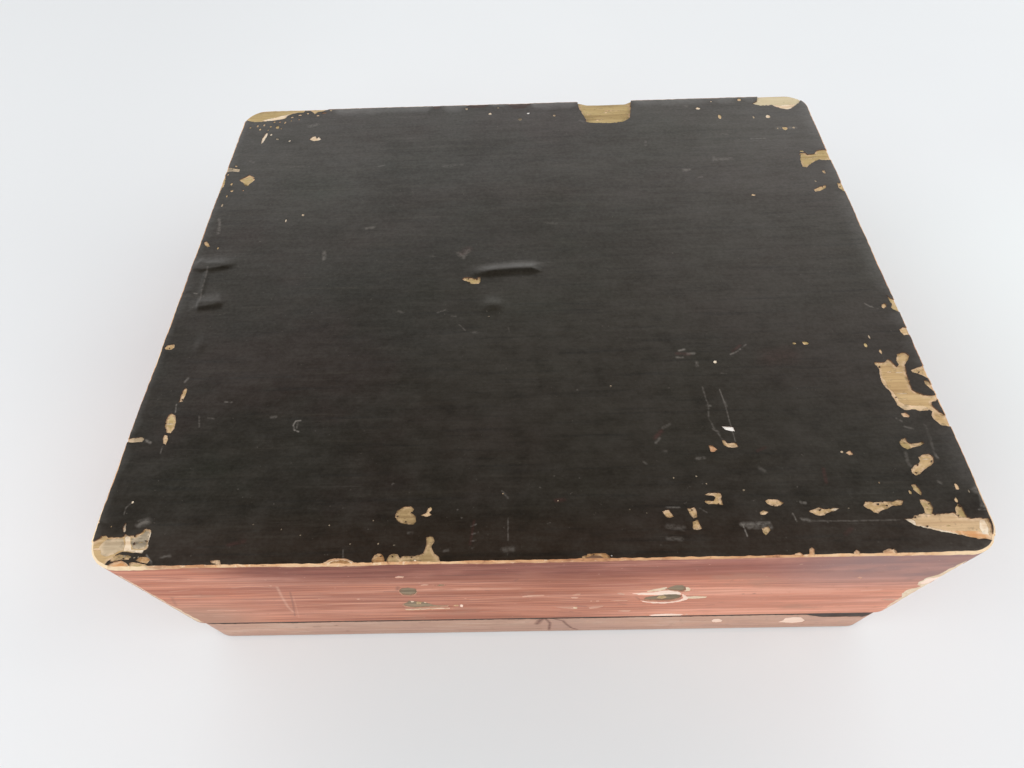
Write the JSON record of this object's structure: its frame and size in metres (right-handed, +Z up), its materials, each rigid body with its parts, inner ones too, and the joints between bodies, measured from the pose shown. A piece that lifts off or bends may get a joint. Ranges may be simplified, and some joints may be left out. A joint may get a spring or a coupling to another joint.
{
  "type": "wind up music box",
  "caption": "Table-top disc music box: deep hinged black-topped lid over a shallow red wooden base, with a key-wound spring motor, comb, turning disc and air governor inside.",
  "frame": {"origin": "centre of the footprint on the surface the box stands on", "axes": "+X to the right along the width seen from the front, +Y to the back where the hinges are, +Z up"},
  "size_m": [0.28, 0.235, 0.095],
  "materials": {
    "black_panel": "old black paint over wood, worn and chipped",
    "red_board": "faded red stain over softwood",
    "pink_rail": "faded pink stain over softwood",
    "plain_wood": "plain softwood",
    "brass": "satin",
    "old_brass": "dull",
    "steel": "polished",
    "dark_steel": "blued",
    "iron": "bronze paint over cast iron",
    "leather": "brake leather",
    "disc_steel": "thin sheet steel"
  },
  "bodies": {
    "case": {"base_board": "plain_wood", "base_front_rail": "pink_rail", "base_back_rail": "pink_rail", "base_left_rail": "pink_rail", "base_right_rail": "pink_rail", "bearer_front": "plain_wood", "bearer_back": "plain_wood", "bearer_left": "plain_wood", "bearer_right": "plain_wood", "hinge_base_leaves": "old_brass", "hinge_pins": "steel", "hinge_base_screws": "old_brass", "bedplate": "iron", "bedplate_screws": "steel", "bedplate_bushes": "brass", "motor_plate": "brass", "motor_pillars": "brass", "train_bridge": "brass", "governor_bracket": "brass", "pivot_posts": "steel", "comb": "steel", "comb_bar": "iron", "comb_screws": "dark_steel", "star_axle": "steel", "star_gantry": "brass", "pressure_post": "steel"},
    "lid": {"lid_panel": "black_panel", "lid_front_board": "red_board", "lid_back_board": "red_board", "lid_left_board": "red_board", "lid_right_board": "red_board", "hinge_lid_leaves": "old_brass", "hinge_lid_screws": "old_brass"},
    "disc": {"disc_spindle": "steel", "disc_hub": "brass", "tune_disc": "disc_steel"},
    "barrel": {"spring_barrel": "brass", "great_wheel": "brass", "mainspring": "dark_steel"},
    "arbor": {"barrel_arbor": "steel", "winding_wheel": "brass"},
    "winder": {"winding_arbor": "steel", "ratchet_wheel": "steel", "winding_key": "brass"},
    "click": {"click": "steel", "click_spring": "dark_steel"},
    "second": {"second_arbor": "steel", "second_wheel": "brass"},
    "third": {"third_arbor": "steel", "worm_wheel": "brass"},
    "governor": {"governor_worm": "steel", "governor_fan": "brass"},
    "lever": {"stop_lever": "steel", "stop_pad": "leather"},
    "stars": {"star_wheels": "brass"},
    "press": {"pressure_bar": "steel", "roller_axle": "steel"},
    "rollers": {"pressure_rollers": "brass"}
  },
  "joints": [
    {"name": "lid_hinge", "type": "hinge", "parent": "case", "child": "lid", "pos_m": [0, 0.113, 0.0262], "axis": [-1, 0, 0], "range_deg": [0, 96]},
    {"name": "disc_spin", "type": "hinge", "parent": "case", "child": "disc", "pos_m": [0.024, 0, 0.04], "axis": [0, 0, 1], "continuous": true},
    {"name": "barrel_spin", "type": "hinge", "parent": "case", "child": "barrel", "pos_m": [-0.02111, -0.01642, 0.02], "axis": [0, 0, 1], "continuous": true},
    {"name": "second_spin", "type": "hinge", "parent": "case", "child": "second", "pos_m": [-0.05748, 0.00458, 0.03], "axis": [0, 0, 1], "continuous": true},
    {"name": "third_spin", "type": "hinge", "parent": "case", "child": "third", "pos_m": [-0.06948, 0.02537, 0.045], "axis": [0, 0, 1], "continuous": true},
    {"name": "governor_spin", "type": "hinge", "parent": "case", "child": "governor", "pos_m": [-0.08028, 0.04, 0.0478], "axis": [0, 1, 0], "continuous": true},
    {"name": "key_wind", "type": "hinge", "parent": "case", "child": "winder", "pos_m": [-0.07185, -0.03489, 0.04], "axis": [0, 0, 1], "continuous": true},
    {"name": "arbor_wind", "type": "hinge", "parent": "case", "child": "arbor", "pos_m": [-0.02111, -0.01642, 0.012], "axis": [0, 0, 1], "continuous": true},
    {"name": "click_pivot", "type": "hinge", "parent": "case", "child": "click", "pos_m": [-0.08485, -0.05589, 0.04], "axis": [0, 0, 1], "range_deg": [0, 12], "stiffness_Nm_per_rad": 0.004, "springref_deg": -5.73},
    {"name": "stop_lever_pivot", "type": "hinge", "parent": "case", "child": "lever", "pos_m": [-0.104, 0.055, 0.043], "axis": [0, 0, 1], "range_deg": [0, 10]},
    {"name": "star_spin", "type": "hinge", "parent": "case", "child": "stars", "pos_m": [0.0786, 0, 0.0503], "axis": [1, 0, 0], "continuous": true},
    {"name": "pressure_bar_swing", "type": "hinge", "parent": "case", "child": "press", "pos_m": [0.118, 0, 0.063], "axis": [0, 0, -1], "range_deg": [0, 85]},
    {"name": "roller_spin", "type": "hinge", "parent": "press", "child": "rollers", "pos_m": [0.078, 0, 0.0582], "axis": [1, 0, 0], "continuous": true}
  ],
  "couplings": [
    {"joint": "barrel_spin", "follows": "disc_spin", "ratio": -0.33333},
    {"joint": "second_spin", "follows": "disc_spin", "ratio": 2},
    {"joint": "third_spin", "follows": "disc_spin", "ratio": -8},
    {"joint": "governor_spin", "follows": "disc_spin", "ratio": -160},
    {"joint": "star_spin", "follows": "disc_spin", "ratio": -2},
    {"joint": "arbor_wind", "follows": "key_wind", "ratio": -0.5}
  ]
}
